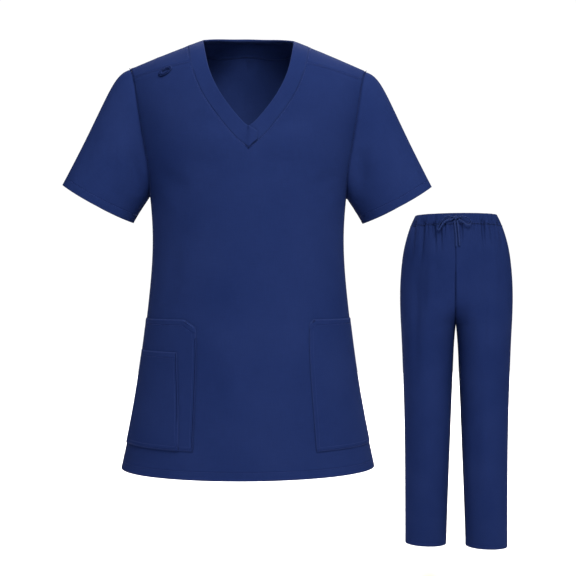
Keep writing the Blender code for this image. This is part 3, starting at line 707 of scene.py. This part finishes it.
def refine(piece, finer=None, easing=EASING):
    """Rounds a sheet's facets but not its corners, and gives it a finer mesh where a test of a face's middle
    passes."""
    keep_corners(piece.data)
    activate(piece)
    rounding = piece.modifiers.new("rounding", "SUBSURF")
    rounding.levels = rounding.render_levels = 2
    rounding.boundary_smooth = "PRESERVE_CORNERS"
    bpy.ops.object.modifier_apply(modifier=rounding.name)
    if finer:
        choose(piece, "FACE", [finer(face.center) for face in piece.data.polygons])
        bpy.ops.mesh.subdivide(number_cuts=1)
        leave_edit()
    rims = {v for edge in open_edges(piece.data) for v in edge}
    choose(piece, "VERT", [v.index not in rims for v in piece.data.vertices])
    if easing:
        bpy.ops.mesh.vertices_smooth(factor=0.5, repeat=easing)
    leave_edit()


# ---- creasing and sewing a sheet ----


def unit(vectors):
    return vectors / np.maximum(np.linalg.norm(vectors, axis=-1, keepdims=True), 1e-9)


def lengths_along(line):
    """How far along a line of points each one lies."""
    return np.concatenate(([0.0], np.cumsum(np.linalg.norm(np.diff(line, axis=0), axis=1))))


def points_of(mesh, kind="co"):
    points = np.zeros(len(mesh.vertices) * 3)
    mesh.vertices.foreach_get(kind, points)
    return points.reshape(-1, 3)


def normals_of(mesh):
    return points_of(mesh, "normal")


def put_points(mesh, points):
    mesh.vertices.foreach_set("co", np.asarray(points).ravel())
    mesh.update()


def put_attribute(mesh, name, values):
    layer = mesh.attributes.new(name, "FLOAT", "POINT")
    layer.data.foreach_set("value", np.asarray(values, dtype=np.float32))


def fold_heights(points, folds):
    """How far each folded point moves out, from a table of folds."""
    heights = np.zeros(len(points))
    sides = np.where(points[:, 1] < 0, "front", "back")
    flat = points[:, (0, 2)]
    for side, hold, row in [(*key, row) for key, rows in folds.items() for row in rows]:
        fold = dict(zip(FOLD_COLUMNS, np.array(row) * MM))
        start = np.array((fold["x"], fold["z"]))
        run = np.array((fold["end_x"], fold["end_z"])) - start
        length = np.linalg.norm(run)
        along = (flat - start) @ run / length**2
        inside = np.clip(along, 0, 1)
        off = (flat - start) @ np.array((-run[1], run[0])) / length
        off = off - fold["bow"] * np.sin(math.pi * inside)
        past = (along - inside) * length
        if hold == "held":
            swell = (1 - inside) ** 1.3
            past = np.where(along < 0, past * 0.5, past)
        else:
            swell = np.sin(math.pi * inside)
        shape = np.exp(-(off**2 + past**2) / fold["half_width"] ** 2)
        heights += np.where(sides == side, fold["depth"] * swell * shape, 0)
    return heights


def crease(piece, folds, matrix=None):
    """Presses folds into a sheet. They are placed in the garment's own frame."""
    mesh = piece.data
    points = points_of(mesh)
    local = points
    if matrix is not None:
        local = points @ np.array(matrix.to_3x3()).T + np.array(matrix.translation)
    put_points(mesh, points + normals_of(mesh) * fold_heights(local, folds)[:, None])


def outward_ways(mesh, edges=None):
    """For each point of the open edges, or of some of them, the way out of the sheet, in its own plane."""
    points, normals = points_of(mesh), normals_of(mesh)
    ways = {}
    for (a, b), face in open_edges(mesh).items():
        if edges is not None and (a, b) not in edges:
            continue
        out = np.cross(points[b] - points[a], normals[a] + normals[b])
        out /= np.linalg.norm(out)
        if out @ ((points[a] + points[b]) / 2 - np.array(mesh.polygons[face].center)) < 0:
            out = -out
        ways[a] = ways.get(a, 0) + out
        ways[b] = ways.get(b, 0) + out
    return {v: way / max(np.linalg.norm(way), 1e-9) for v, way in ways.items()}


def open_runs(mesh, label):
    """The open edges as lines of points in order, parted where their label changes."""
    following = neighbours(open_edges(mesh))
    left = set(following)
    runs = []
    while left:
        start = min(left)
        loop = [start]
        left.discard(start)
        while True:
            ahead = [v for v in following[loop[-1]] if v in left]
            if not ahead:
                break
            loop.append(ahead[0])
            left.discard(ahead[0])
        labels = [label[v] for v in loop]
        turn = next((i for i in range(len(loop)) if labels[i] != labels[i - 1]), 0)
        loop = loop[turn:] + loop[:turn]
        labels = labels[turn:] + labels[:turn]
        begin = 0
        for i in range(1, len(loop) + 1):
            if i == len(loop) or labels[i] != labels[begin]:
                runs.append((labels[begin], loop[begin:i]))
                begin = i
    return runs


def edge_marks(mesh, edges):
    """Close marks along some edges, to find the nearest of."""
    points = points_of(mesh)
    shares = np.linspace(0, 1, MARKS_PER_EDGE + 1)
    marks = [points[a] + (points[b] - points[a]) * share for a, b in edges for share in shares]
    tree = KDTree(len(marks))
    for i, mark in enumerate(marks):
        tree.insert(mark, i)
    tree.balance()
    return tree


def long_runs(edges, points):
    """The edges that hang together over more than the shortest hem's length."""
    beside = {}
    for edge in edges:
        for v in edge:
            beside.setdefault(v, []).append(edge)
    left = set(edges)
    kept = []
    while left:
        ahead = [left.pop()]
        run = []
        while ahead:
            run.append(ahead.pop())
            for v in run[-1]:
                for edge in beside[v]:
                    if edge in left:
                        left.remove(edge)
                        ahead.append(edge)
        if sum(np.linalg.norm(points[a] - points[b]) for a, b in run) > SHORTEST_HEM:
            kept += run
    return kept


def extrude_edges(piece, edges):
    """New points at each of some open edges, with the old point of each, and the new edges."""
    mesh = piece.data
    first = len(mesh.vertices)
    keys = {tuple(sorted(edge)) for edge in edges}
    choose(piece, "EDGE", [tuple(sorted(edge.vertices)) in keys for edge in mesh.edges])
    bpy.ops.mesh.extrude_edges_move()
    leave_edit()
    points = points_of(mesh)
    old = {tuple(np.round(points[v], 7)): v for edge in keys for v in edge}
    twins = {v: old[tuple(np.round(points[v], 7))] for v in range(first, len(points))}
    after = {v: new for new, v in twins.items()}
    return twins, [(after[a], after[b]) for a, b in keys]


def add_edge_strip(piece, width=EDGE_STRIP):
    """A narrow strip of faces along the open edges."""
    edit_all(piece)
    bpy.ops.mesh.inset(thickness=width, use_boundary=True, use_even_offset=False)
    leave_edit()


def mark_rows(mesh, rows):
    """Writes how far each point lies from a row of stitching that runs beside some edges, and which points
    lie on an edge. A row is its attribute's name, the edges and how far in from them it runs."""
    points = points_of(mesh)
    for name, edges, inset in rows:
        away = np.ones(len(points))
        if edges and inset:
            tree = edge_marks(mesh, edges)
            away = [tree.find(point)[2] - inset for point in points]
        put_attribute(mesh, name, away)
    edge = np.zeros(len(points))
    edge[[v for ends in open_edges(mesh) for v in ends]] = 1.0
    put_attribute(mesh, "edge", edge)
    return edge


def sheet_of(mesh, ways, label):
    """What the topstitching follows: the sheet's tree, its points and its labelled edges."""
    points = points_of(mesh)
    return {
        "tree": BVHTree.FromPolygons([Vector(p) for p in points], [p.vertices for p in mesh.polygons]),
        "points": points,
        "ways": ways,
        "runs": open_runs(mesh, label),
    }


def sew_edges(piece, marks, depth, hem, rows):
    """Draws each edge to the neighbour's edge that it meets, in a groove of the seam's depth, and turns the
    free edges up as a hem. Marks are of every neighbour's edges. Returns its sheet for the topstitching."""
    mesh = piece.data
    points, normals = points_of(mesh), normals_of(mesh)
    ways = outward_ways(mesh)
    meeting = {}
    for v in ways:
        found = [(*tree.find(points[v]), name) for name, tree in marks.items()]
        meeting[v] = min(found, key=lambda each: each[2])
    free = []
    sewn = []
    for a, b in open_edges(mesh):
        gaps = meeting[a][2], meeting[b][2]
        beside = abs(gaps[0] - gaps[1]) < 0.5 * np.linalg.norm(points[a] - points[b])
        (sewn if beside and min(gaps) < SEAM_REACH else free).append((a, b))
    free = long_runs(free, points)
    label = dict.fromkeys(ways, "free")
    sewn_points = points.copy()
    for v in {v for edge in sewn for v in edge}:
        place, _, gap, label[v] = meeting[v]
        across = (np.array(place) - points[v]) / max(gap, 1e-7)
        down = normals[v] - across * (normals[v] @ across)
        sewn_points[v] = (points[v] + np.array(place)) / 2 - unit(down) * depth
    mark_rows(mesh, (("hem_row", free, rows[0]), ("seam_row", sewn, rows[1])))
    sheet = sheet_of(mesh, ways, label)
    put_points(mesh, sewn_points)
    if free:
        turn_hem(piece, free, normals, hem)
    return sheet


def turn_hem(piece, edges, normals, width):
    """Folds the cloth past some edges to the inside, and lays it against the panel."""
    mesh = piece.data
    rims = points_of(mesh)
    ways = outward_ways(mesh, set(edges))
    ways = {v: unit(way - normals[v] * (normals[v] @ way)) for v, way in ways.items()}
    fold, fold_edges = extrude_edges(piece, edges)
    back, _ = extrude_edges(piece, fold_edges)
    moved = points_of(mesh)
    for new, old in fold.items():
        moved[new] = rims[old] - normals[old] * (2 * CLOTH + LAYER_GAP)
    for new, old in back.items():
        first = fold[old]
        moved[new] = rims[first] - normals[first] * (2 * CLOTH + LAYER_GAP) - ways[first] * width
    put_points(mesh, moved)


def thicken(piece):
    activate(piece)
    wall = piece.modifiers.new("cloth", "SOLIDIFY")
    wall.thickness = CLOTH
    wall.offset = -1.0
    wall.use_even_offset = False
    bpy.ops.object.modifier_apply(modifier=wall.name)
    piece.data.shade_smooth()


def dress(piece, material, slot, *nodes):
    """Gives a finished piece its material, hangs it from the root body and hides the solids that it replaces.
    The slot is not used.
    """
    piece.data.materials.clear()
    piece.data.materials.append(material)
    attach(piece, "root")
    if nodes:
        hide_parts(*nodes)


def finish_panel(piece, node):
    thicken(piece)
    dress(piece, poplin, "navy_poplin", node)


# ---- topstitching ----


def one_stitch():
    """A single stitch, modelled once: a plump dash of thread that dips at both ends."""
    bpy.ops.object.select_all(action="DESELECT")
    lying = (0.0, math.pi / 2, 0.0)
    bpy.ops.mesh.primitive_uv_sphere_add(segments=6, ring_count=4, radius=1.0, rotation=lying)
    piece = bpy.context.object
    bpy.ops.object.transform_apply(location=False, rotation=True, scale=False)
    mesh = piece.data
    points = points_of(mesh) * (STITCH_LENGTH / 2, STITCH_THICK / 2, STITCH_THICK / 2)
    points[:, 2] -= STITCH_THICK * STITCH_DIP * (points[:, 0] / (STITCH_LENGTH / 2)) ** 2
    faces = [tuple(face.vertices) for face in mesh.polygons]
    bpy.data.objects.remove(piece)
    bpy.data.meshes.remove(mesh)
    return points, faces


stitch_points, stitch_faces = one_stitch()


def place_stitch(spot, normal, way, lift, size=(1.0, 1.0, 1.0)):
    """The points of a stitch on a surface, turned so that it runs along a way."""
    normal = np.array(normal)
    way = unit(way - normal * (way @ normal))
    turn = np.stack((way, np.cross(normal, way), normal))
    return (stitch_points * size) @ turn + np.array(spot) + normal * lift


def along_line(line, step):
    """Even places on a line of points, with the way it runs there."""
    steps = lengths_along(line)
    count = max(int(steps[-1] / step), 1)
    places = (np.arange(count) + 0.5) * (steps[-1] / count)

    def at(where):
        return np.stack([np.interp(where, steps, line[:, i]) for i in range(3)], axis=1)

    return at(places), at(places + step / 2) - at(places - step / 2)


def stitch_row(sheet, run, inset):
    """The stitches of one row, set in from an edge: a list of their placed points."""
    line = []
    for v in run:
        place = sheet["points"][v] - sheet["ways"][v] * inset
        line.append(np.array(sheet["tree"].find_nearest(Vector(place))[0]))
    line = np.array(line)
    for _ in range(2):
        line[1:-1] = (line[:-2] + 2 * line[1:-1] + line[2:]) / 4
    stitches = []
    for place, way in zip(*along_line(line, STITCH_LENGTH + STITCH_GAP)):
        spot, normal, _, _ = sheet["tree"].find_nearest(Vector(place))
        stitches.append(place_stitch(spot, normal, way, STITCH_THICK * STITCH_LIFT))
    return stitches


def stitch_rows(sheet, wanted, insets, keep=None, trim=0):
    """Rows beside every edge that is joined to a wanted neighbour, where its middle passes a test."""
    stitches = []
    for label, run in sheet["runs"]:
        if label != wanted or len(run) < SHORTEST_ROW:
            continue
        run = run[trim : len(run) - trim]
        middle = Vector(sheet["points"][run[len(run) // 2]])
        if keep is None or keep(middle):
            for inset in insets:
                stitches += stitch_row(sheet, run, inset)
    return stitches


def join_stitches(name, stitches):
    """All the stitches of one garment, as one mesh."""
    count = len(stitch_points)
    faces = [tuple(v + count * i for v in face) for i in range(len(stitches)) for face in stitch_faces]
    mesh = bpy.data.meshes.new(name)
    mesh.from_pydata(np.concatenate(stitches).tolist(), [], faces)
    mesh.validate()
    mesh.shade_smooth()
    dress(add_object(name, mesh), thread, "navy_cord")


# ---- the top ----

FACED = ("neck_band", "waistband")  # bands, which have no rows of stitching on their own outside


def sew_garment(pieces, seam_depth, hems):
    """Sews a garment's panels to each other. Returns each one's sheet for its topstitching."""
    marks = {node: edge_marks(piece.data, open_edges(piece.data)) for node, piece in pieces.items()}
    sheets = {}
    for node, piece in pieces.items():
        others = {name: tree for name, tree in marks.items() if name != node}
        rows = (0, 0) if node in FACED else (hems[node], SEAM_ROW)
        sheets[node] = sew_edges(piece, others, seam_depth, hems[node], rows)
    return sheets


def mirrored(place, side_x):
    return (place[0] * side_x, place[1], place[2])


def under_arm(side_x):
    """A test of a point on the seam under one arm."""

    def test(place):
        inside = place.x * side_x < ARM_SEAM_SIDE and place.z < SIDE_SEAMS_TOP
        return inside and abs(place.y) < ARM_SEAM_REACH

    return test


def on_shoulder(place):
    return place.z > SIDE_SEAMS_TOP


top = {}
for node in ("top_front", "top_back"):
    top[node] = cut_out(node, TOP_MIDDLE)
    refine(top[node])
    crease(top[node], TOP_FOLDS)
for node, side_x in (("sleeve_right", -1), ("sleeve_left", 1)):
    top[node] = cut_out(node, mirrored(SLEEVE_MIDDLE, side_x), under_arm(side_x))
    refine(top[node])
    crease(top[node], SLEEVE_FOLDS)
top["neck_band"] = cut_out("neck_band", TOP_MIDDLE)
refine(top["neck_band"], easing=0)
for piece in top.values():
    add_edge_strip(piece, TOP_EDGE_STRIP)

top_hems = {
    "top_front": TOP_HEM_WIDTH,
    "top_back": TOP_HEM_WIDTH,
    "sleeve_right": SLEEVE_HEM_WIDTH,
    "sleeve_left": SLEEVE_HEM_WIDTH,
    "neck_band": BAND_FACING,
}
sheets = sew_garment(top, TOP_SEAM, top_hems)
top_stitches = []
for node in ("top_front", "top_back"):
    top_stitches += stitch_rows(sheets[node], "free", (TOP_HEM_WIDTH,))
    for neighbour in ("neck_band", "sleeve_right", "sleeve_left"):
        top_stitches += stitch_rows(sheets[node], neighbour, (SEAM_ROW,))
    finish_panel(top[node], node)
top_stitches += stitch_rows(sheets["top_back"], "top_front", (SEAM_ROW,), on_shoulder)
for node in ("sleeve_right", "sleeve_left"):
    top_stitches += stitch_rows(sheets[node], "free", (SLEEVE_HEM_WIDTH,))
    finish_panel(top[node], node)
finish_panel(top["neck_band"], "neck_band")

# ---- what is sewn on the top ----


def lay_on(piece, press, top_z, hem):
    """Presses a patch onto the panel under it, sewn down all round but for its edge above a height, which is
    hemmed. Returns its sheet."""
    mesh = piece.data
    put_points(mesh, points_of(mesh) - normals_of(mesh) * press)
    add_edge_strip(piece)
    points, normals = points_of(mesh), normals_of(mesh)
    ways = outward_ways(mesh)
    label = {v: "free" if points[v][2] > top_z else "sewn" for v in ways}
    free = [edge for edge in open_edges(mesh) if label[edge[0]] == label[edge[1]] == "free"]
    sewn = [edge for edge in open_edges(mesh) if edge not in free]
    edge = mark_rows(mesh, (("hem_row", free, hem), ("seam_row", sewn, SEAM_ROW)))
    sheet = sheet_of(mesh, ways, label)
    put_points(mesh, points - normals * (TOP_SEAM * edge)[:, None])
    if free:
        turn_hem(piece, free, normals, hem)
    return sheet


for node, press in POCKET_PRESS.items():
    piece = cut_out(node, TOP_MIDDLE)
    refine(piece)
    sheet = lay_on(piece, press, POCKET_TOPS[node], POCKET_HEM_WIDTH)
    top_stitches += stitch_rows(sheet, "sewn", (SEAM_ROW, TWIN_ROW))
    top_stitches += stitch_rows(sheet, "free", (SEAM_ROW, POCKET_HEM_WIDTH), None, 1)
    finish_panel(piece, node)

piece = cut_out("badge_loop", TOP_MIDDLE)
refine(piece)
lay_on(piece, BADGE_LOOP_PRESS, math.inf, 0.0)
finish_panel(piece, "badge_loop")

join_stitches("top_topstitching", top_stitches)

# ---- the pants ----

LEG_PANELS = {
    "pants_front_right": -1,
    "pants_front_left": 1,
    "pants_back_right": -1,
    "pants_back_left": 1,
}


def pants_place(point):
    return pants_matrix @ Vector(point)


def gathered(place):
    return (pants_from_world @ place).z > GATHERED_TO


def on_outer_side(place):
    return abs((pants_from_world @ place).x) > OUTER_SEAM_SIDE


def at_back(place):
    local = pants_from_world @ place
    return abs(local.x) < BACK_SEAM_REACH and local.y > 0


pants = {}
for node, side_x in LEG_PANELS.items():
    pants[node] = cut_out(node, pants_place(mirrored(LEG_MIDDLE, side_x)))
    refine(pants[node], gathered)
    crease(pants[node], PANTS_FOLDS, pants_from_world)
pants["waistband"] = cut_out("waistband", pants_place(WAISTBAND_MIDDLE), at_back)
refine(pants["waistband"])
crease(pants["waistband"], PANTS_FOLDS, pants_from_world)
for piece in pants.values():
    add_edge_strip(piece)

pants_hems = {node: PANTS_HEM_WIDTH for node in LEG_PANELS}
pants_hems["waistband"] = WAISTBAND_HEM_WIDTH
sheets = sew_garment(pants, PANTS_SEAM, pants_hems)
pants_stitches = []
for node in LEG_PANELS:
    pants_stitches += stitch_rows(sheets[node], "free", (PANTS_HEM_WIDTH,))
for place in ("front", "back"):
    right, left = f"pants_{place}_right", f"pants_{place}_left"
    pants_stitches += stitch_rows(sheets[right], left, (SEAM_ROW,))
for side in ("right", "left"):
    front, back = f"pants_front_{side}", f"pants_back_{side}"
    pants_stitches += stitch_rows(sheets[front], back, (SEAM_ROW, TWIN_ROW), on_outer_side)
for node in LEG_PANELS:
    pants_stitches += stitch_rows(sheets["waistband"], node, (SEAM_ROW,))
    finish_panel(pants[node], node)
pants_stitches += stitch_rows(sheets["waistband"], "free", (WAISTBAND_ROW,))
finish_panel(pants["waistband"], "waistband")

join_stitches("pants_topstitching", pants_stitches)

# ---- the drawstring ----


def smooth_curve(points, step):
    """Even places on a smooth curve through the given points."""
    points = np.array(points, float)
    lengths = lengths_along(points)
    slopes = np.gradient(points, lengths, axis=0)
    places = np.linspace(0, lengths[-1], max(4, round(lengths[-1] / step)) + 1)
    left = np.clip(np.searchsorted(lengths, places) - 1, 0, len(points) - 2)
    gap = (lengths[left + 1] - lengths[left])[:, None]
    t = (places - lengths[left])[:, None] / gap
    start = (1 + 2 * t) * (1 - t) ** 2 * points[left] + t * (1 - t) ** 2 * gap * slopes[left]
    end = t * t * (3 - 2 * t) * points[left + 1] - t * t * (1 - t) * gap * slopes[left + 1]
    return start + end


def braid_tube(route, twist, closed_round=None, half=CORD_HALF):
    """A flat cord along a route: its points, faces and pattern places. Its broad side faces the front,
    turned by the twist in degrees, or in a closed turn it faces away from the point that it goes round."""
    closed = closed_round is not None
    if closed:
        ways = unit(np.roll(route, -1, axis=0) - np.roll(route, 1, axis=0))
    else:
        ways = unit(np.gradient(route, axis=0))
    count = len(route)
    turns = np.radians(np.interp(np.linspace(0, 1, count), np.linspace(0, 1, len(twist)), twist))
    points, places = [], []
    for centre, way, turn, at in zip(route, ways, turns, lengths_along(route)):
        facing = centre - np.array(closed_round) if closed else np.array((0.0, -1.0, 0.0))
        broad = unit(np.cross(way, facing))
        flat = np.cross(broad, way)
        wide = broad * math.cos(turn) + flat * math.sin(turn)
        deep = flat * math.cos(turn) - broad * math.sin(turn)
        for side in range(CORD_SIDES):
            angle = 2 * math.pi * side / CORD_SIDES
            points.append(centre + wide * math.cos(angle) * half[0] + deep * math.sin(angle) * half[1])
            places.append((at, side / CORD_SIDES * BRAID_ROUND))
    faces = []
    for ring in range(count if closed else count - 1):
        for side in range(CORD_SIDES):
            after = (side + 1) % CORD_SIDES
            low, high = ring * CORD_SIDES, (ring + 1) % count * CORD_SIDES
            faces.append((low + side, high + side, high + after, low + after))
    if not closed:
        faces.append(tuple(range(CORD_SIDES)))
        faces.append(tuple(reversed(range((count - 1) * CORD_SIDES, count * CORD_SIDES))))
    return points, faces, places


def cord_mesh(name, tubes):
    """One mesh from one or more tubes, placed in the pants' frame."""
    points, faces, places = [], [], []
    for tube_points, tube_faces, tube_places in tubes:
        first = len(points)
        points += [pants_matrix @ Vector(p) for p in tube_points]
        faces += [tuple(v + first for v in face) for face in tube_faces]
        places += tube_places
    mesh = bpy.data.meshes.new(name)
    mesh.from_pydata(points, [], faces)
    layer = mesh.uv_layers.new(name="length")
    for loop in mesh.loops:
        layer.data[loop.index].uv = places[loop.vertex_index]
    mesh.validate()
    piece = add_object(name, mesh)
    edit_all(piece)
    bpy.ops.mesh.normals_make_consistent(inside=False)
    leave_edit()
    piece.data.shade_smooth()
    return piece


def turn_round(centre, depth, height, lean):
    """One closed turn of the flat cord round the knot, in a plane that leans from the upright."""
    x, y, z = centre
    route = []
    for i in range(TURN_STEPS):
        angle = 2 * math.pi * i / TURN_STEPS
        up = height * math.cos(angle)
        route.append((x + up * math.sin(lean), y - depth * math.sin(angle), z + up * math.cos(lean)))
    return braid_tube(np.array(route), (0, 0), centre)


def knot():
    """The bow's knot: two turns of the cord round the crossing, and the runs back to the buttonholes."""
    x, y, z = KNOT_CENTRE
    tubes = []
    for turn in KNOT_TURNS:
        centre = np.add(KNOT_CENTRE, turn["off"])
        tubes.append(turn_round(centre, turn["depth"], turn["height"], turn["lean"]))
    core = smooth_curve(np.add(KNOT_CENTRE, KNOT_CORE), KNOT_STEP)
    tubes.append(braid_tube(core, (0, 0), None, KNOT_CORE_HALF))
    for side_x in (-1, 1):
        run = (
            (x + 0.0020 * side_x, y + 0.0012, z - 0.0005),
            (x + 0.0075 * side_x, y + 0.0026, z + 0.0002),
            (BUTTONHOLE[0] * side_x, y + 0.0042, BUTTONHOLE[1]),
            (BUTTONHOLE[0] * side_x * 1.06, y + 0.0085, BUTTONHOLE[1] - 0.0006),
        )
        tubes.append(braid_tube(smooth_curve(run, KNOT_STEP), (0, 30)))
    piece = cord_mesh("bow_knot", tubes)
    dress(piece, braid, "navy_cord", "drawstring_knot")
    return piece


bow_knot = knot()
for name, facts in CORDS.items():
    route = smooth_curve(facts["route"], CORD_STEP)
    piece = cord_mesh("cord_" + name, [braid_tube(route, facts["twist"])])
    dress(piece, braid, "navy_cord", name)


def buttonholes():
    """Two upright buttonholes in the waistband, each a ring of close satin stitches round a slit."""
    tree = BVHTree.FromObject(bpy.data.objects["cloth_waistband"], bpy.context.evaluated_depsgraph_get())
    turned = pants_matrix.to_3x3()
    stitches = []
    for side_x in (-1, 1):
        for step in range(BUTTONHOLE_STITCHES):
            angle = 2 * math.pi * step / BUTTONHOLE_STITCHES
            x = side_x * BUTTONHOLE[0] + BUTTONHOLE_HALF[0] * math.cos(angle)
            z = BUTTONHOLE[1] + BUTTONHOLE_HALF[1] * math.sin(angle)
            spot, normal, _, _ = tree.ray_cast(pants_place((x, -0.2, z)), turned @ Vector((0, 1, 0)))
            way = turned @ Vector((math.cos(angle), 0, math.sin(angle) * 0.6))
            stitches.append(place_stitch(spot, normal, np.array(way), SATIN_LIFT, SATIN_STITCH))
    join_stitches("buttonhole_stitching", stitches)


buttonholes()

# ---- floor ----

FLOOR_MIDDLE = (0.3, 0.6, -1.245)
FLOOR_SIZE = 14.0

bpy.ops.object.select_all(action="DESELECT")
bpy.ops.mesh.primitive_plane_add(size=FLOOR_SIZE, location=FLOOR_MIDDLE)
floor = bpy.context.object
floor.name = floor.data.name = "studio_floor"
bpy.ops.object.transform_apply(location=True, rotation=False, scale=False)
floor.data.materials.append(painted_board())
